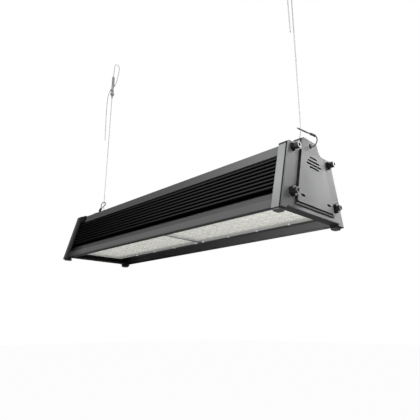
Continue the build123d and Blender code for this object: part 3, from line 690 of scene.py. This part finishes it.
# Painted shade: the pads' lower faces and the far pads are dark.
pad_shade = pad_rubber.clamp((z < 0.0007) + (x < 0.0))
pad_rubber.feed("Base Color", pad_rubber.mix(pad_shade, pad_grey, (0.02, 0.02, 0.02)))
dress(pad_rubber, "foot_pads")


# End screws and collars: long socket screws of blackened steel with an oily shine, turned into
# the housing's ports. Each stands on a hexagonal collar of duller blackened steel.
black_steel = Finish("black_steel", (0.010, 0.010, 0.010), 0.2, 0.0, coat_weight=0.3)
smudge = black_steel.grain(0.004)
black_steel.feed("Roughness", 0.14 + 0.2 * smudge)
dress(black_steel, "end_screws_near", "end_screws_far")
collar_steel = Finish("collar_steel", (0.005, 0.005, 0.005), 0.3, specular_ior_level=0.25)
collar_steel.feed("Roughness", 0.22 + 0.2 * collar_steel.grain(0.004))
dress(collar_steel, "end_collars_near", "end_collars_far")


# LED boards: aluminium circuit boards under white solder mask, screwed to the housing's base.
# Small square LEDs with yellow phosphor are soldered to the lower face of each.
# The solder mask also glows a little, as painted light.
board_finish = Finish(
    "white_solder_mask", (0.80, 0.80, 0.79), 0.35,
    emission_color=(1.0, 1.0, 0.98), emission_strength=0.42,
)
board_spots = board_finish.grain(0.01)
board_finish.feed(
    "Base Color", board_finish.mix(board_spots, (0.76, 0.76, 0.75), (0.84, 0.84, 0.83))
)
dress(board_finish, "led_board_near", "led_board_far")
led_finish = Finish("led_phosphor", (0.74, 0.68, 0.18), 0.3)
led_finish.feed("Roughness", 0.25 + 0.1 * led_finish.grain(0.002))
dress(led_finish, "leds_near", "leds_far")


# Lens plates: clear moulded polycarbonate, one domed lens for each LED, inside a flat rim.
# Each lens enlarges the yellow of its LED, so a yellow spot shows in its middle.
panel_low, panel_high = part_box("lens_plate_near")
panel_middle = (panel_low.x + panel_high.x) / 2
panel_size = Vector((panel_high.x - panel_low.x, panel_high.y - panel_low.y, 0.0045))
rim_level = 0.020
field_level = 0.019
field_half = (0.138, 0.046)
pocket_half = (0.1368, 0.0508)
pocket_level = 0.022
lens_pitch = (0.018, 0.0155)
lens_count = (15, 5)
lens_half = (lens_pitch[0] * lens_count[0] / 2, lens_pitch[1] * lens_count[1] / 2)
lens_steps = ((0.0012, 0.0), (0.0008, 0.0012), (0.0018, 0.0009))
joint_half = 0.0034
# The lens plates also glow a little, as painted light.
lens_finish = Finish(
    "clear_polycarbonate", (0.9, 0.9, 0.9), 0.25, alpha=0.35,
    emission_color=(1.0, 1.0, 0.97), emission_strength=0.16,
)
x, y, z = lens_finish.along()
across_lens = (abs(x) - panel_middle + lens_half[0]) % lens_pitch[0] - lens_pitch[0] / 2
along_lens = (y + lens_half[1]) % lens_pitch[1] - lens_pitch[1] / 2
from_lens = (across_lens ** 2.0 + along_lens ** 2.0) ** 0.5
in_field = (abs(y) < field_half[1]) * (z < rim_level)
yellow_spot = lens_finish.clamp((0.0044 - from_lens) / 0.0018) * in_field
lens_tint = lens_finish.mix(yellow_spot, (0.89, 0.885, 0.865), (0.78, 0.78, 0.28))
at_joint = abs(x) < joint_half
lens_finish.feed("Base Color", lens_finish.mix(at_joint, lens_tint, (0.12, 0.12, 0.12)))
lens_finish.feed("Emission Color", lens_finish.mix(at_joint, (1.0, 1.0, 0.97), (0.1, 0.1, 0.1)))
lens_finish.feed("Alpha", 0.56 - 0.18 * in_field + 0.3 * yellow_spot + 0.3 * at_joint)


def cut_across(mesh, axis, places):
    """Cut the mesh by one plane across the axis at each place."""
    for place in places:
        point = Vector()
        point[axis] = place
        normal = Vector()
        normal[axis] = 1.0
        bmesh.ops.bisect_plane(
            mesh, geom=mesh.verts[:] + mesh.edges[:] + mesh.faces[:],
            plane_co=point, plane_no=normal,
        )


def cut_places(axis):
    """Where a panel is cut along an axis: its field, its pocket and its lens cells."""
    places = [-field_half[axis], field_half[axis], -pocket_half[axis], pocket_half[axis]]
    count = lens_count[axis]
    return places + [lens_pitch[axis] * (index - count / 2) for index in range(count + 1)]


def faces_in(plate, middle_x, half, facing):
    """The plate's faces that look up (1) or down (-1), inside half a length and width."""
    chosen = []
    for face in plate.faces:
        middle = face.calc_center_median()
        inside = abs(middle.x - middle_x) < half[0] and abs(middle.y) < half[1]
        if inside and face.normal.z * facing > 0.9:
            chosen.append(face)
    return chosen


for end, side in side_of.items():
    middle_x = panel_middle * side
    plate = bmesh.new()
    bmesh.ops.create_cube(plate, size=1.0)
    bmesh.ops.scale(plate, vec=panel_size, verts=plate.verts)
    bmesh.ops.translate(
        plate, vec=(middle_x, 0.0, rim_level + panel_size.z / 2), verts=plate.verts
    )
    cut_across(plate, 0, [middle_x + place for place in cut_places(0)])
    cut_across(plate, 1, cut_places(1))
    pocket_depth = pocket_level - rim_level - panel_size.z
    for half, facing, shift in (
        (pocket_half, 1, pocket_depth),
        (field_half, -1, field_level - rim_level),
    ):
        chosen = faces_in(plate, middle_x, half, facing)
        moved = bmesh.ops.extrude_face_region(plate, geom=chosen)["geom"]
        corners = [item for item in moved if isinstance(item, bmesh.types.BMVert)]
        bmesh.ops.translate(plate, vec=(0, 0, shift), verts=corners)
        plate.normal_update()
    crease = plate.edges.layers.float.new("crease_edge")
    for edge in plate.edges:
        if edge.is_manifold and edge.calc_face_angle(0.0) > radians(50):
            edge[crease] = 1.0
    cells = faces_in(plate, middle_x, lens_half, -1)
    for width, height in lens_steps:
        bmesh.ops.inset_individual(plate, faces=cells, thickness=width, depth=height)
    piece = finished(f"lens_panel_{end}", plate, lens_finish, "lens_clear", f"lens_plate_{end}")
    rounding = piece.modifiers.new("rounding", "SUBSURF")
    rounding.levels = 2
    rounding.render_levels = 2
    piece.data.shade_smooth()


# Panel screws: small pan heads of zinc plated steel along the panels' rims, each with a recess.
# They hold the lens plates and their seals to the housing's base.
bright_steel = Finish("zinc_plate", (0.52, 0.52, 0.53), 0.3, 0.85)
bright_steel.feed("Roughness", 0.24 + 0.2 * bright_steel.grain(0.003))
dress(bright_steel, "driver_screws")
screw_pitch = 0.069
screw_row = 0.060
screw_profile = [
    (0.0, 0.0066), (0.0019, 0.0066), (0.0019, 0.0), (0.0035, 0.0), (0.0035, -0.0006),
    (0.0030, -0.0013), (0.0020, -0.00175), (0.0012, -0.0018), (0.0006, -0.0008),
    (0.0, -0.0006),
]
for end, side in side_of.items():
    screws = bmesh.new()
    for index in range(-2, 3):
        for row in (-screw_row, screw_row):
            place = (side * panel_middle + screw_pitch * index, row, rim_level)
            turned(screws, screw_profile, 16, foot=place)
    piece = finished(
        f"rim_screws_{end}", screws, bright_steel, "bright_steel", f"panel_screws_{end}"
    )
    smooth(piece)


# Driver, terminal block and cable gland: what the housing holds, and the gland on its roof.
# The driver is a sealed box of drawn aluminium, the block is white nylon, and the mains cable's
# gland is black plastic.
driver_finish = Finish("drawn_aluminium", (0.48, 0.48, 0.49), 0.4, 0.8)
drawn_lines = driver_finish.grain(0.0012, stretch=(200.0, 1.0, 1.0))
driver_finish.feed("Roughness", 0.32 + 0.2 * drawn_lines)
driver_finish.bump(drawn_lines, 0.00003)
dress(driver_finish, "driver")
nylon = Finish("white_nylon", (0.72, 0.72, 0.69), 0.5)
nylon.feed("Roughness", 0.42 + 0.2 * nylon.grain(0.003))
dress(nylon, "terminal_block")
dress(black_plastic, "gland_body", "gland_locknut", "gland_nut")


# Backdrop: a pale floor well below the hanging light, and a white room.
# Seen straight on, both are white, and the floor still takes the light's soft shadow.
floor_level = -1.0
floor_mesh = bmesh.new()
bmesh.ops.create_grid(floor_mesh, x_segments=1, y_segments=1, size=20.0)
bmesh.ops.translate(floor_mesh, vec=(0, 0, floor_level), verts=floor_mesh.verts)
floor_data = bpy.data.meshes.new("floor")
floor_mesh.to_mesh(floor_data)
floor_mesh.free()
floor = bpy.data.objects.new("floor", floor_data)
scene.collection.objects.link(floor)
floor_finish = Finish("pale_floor", (0.3, 0.3, 0.3), 0.9, specular_ior_level=0.0)
light_path = floor_finish.node("LightPath").output.node.outputs
seen = sum(
    Shade(floor_finish, light_path[kind])
    for kind in ("Is Camera Ray", "Is Glossy Ray", "Is Transmission Ray")
)
floor_finish.feed("Emission Color", (1.0, 1.0, 1.0))
floor_finish.feed("Emission Strength", floor_finish.clamp(seen) * 0.97)
floor_data.materials.append(floor_finish.material)

world = bpy.data.worlds.new("room")
scene.world = world
world.use_nodes = True
room = world.node_tree
room_light = room.nodes["Background"]
path = room.nodes.new("ShaderNodeLightPath")
seen_room = path.outputs["Is Camera Ray"]
for kind in ("Is Glossy Ray", "Is Transmission Ray"):
    either = room.nodes.new("ShaderNodeMath")
    either.operation = "MAXIMUM"
    room.links.new(seen_room, either.inputs[0])
    room.links.new(path.outputs[kind], either.inputs[1])
    seen_room = either.outputs[0]
strength = room.nodes.new("ShaderNodeMapRange")
strength.inputs["To Min"].default_value = 0.03
strength.inputs["To Max"].default_value = 1.0
room.links.new(seen_room, strength.inputs["Value"])
room.links.new(strength.outputs[0], room_light.inputs["Strength"])
room_light.inputs["Color"].default_value = (1.0, 1.0, 1.0, 1.0)


def lamp(name, place, target, size, power):
    """A soft square lamp that points at a target."""
    data = bpy.data.lights.new(name, "AREA")
    data.size = size
    data.energy = power
    made = bpy.data.objects.new(name, data)
    made.location = place
    made.rotation_euler = (Vector(target) - Vector(place)).to_track_quat("-Z", "Y").to_euler()
    scene.collection.objects.link(made)


lamp("end_lamp", (0.62, 0.30, 0.40), (0.30, 0.0, 0.06), 0.25, 1.0)
lamp("side_lamp", (0.43, 0.40, 0.24), (0.30, 0.0, 0.06), 0.20, 0.95)
lamp("front_lamp", (0.35, -0.75, 0.15), (0.15, 0.0, 0.06), 0.35, 2.6)
lamp("near_lamp", (0.45, -0.50, 0.45), (0.28, 0.0, 0.06), 0.25, 0.90)
lamp("back_lamp", (-0.45, 0.75, 0.50), (0.0, 0.0, 0.06), 0.40, 4.5)
lamp("low_lamp", (0.45, -0.25, -0.16), (0.26, 0.06, 0.02), 0.15, 0.60)

scene.view_settings.view_transform = "Standard"
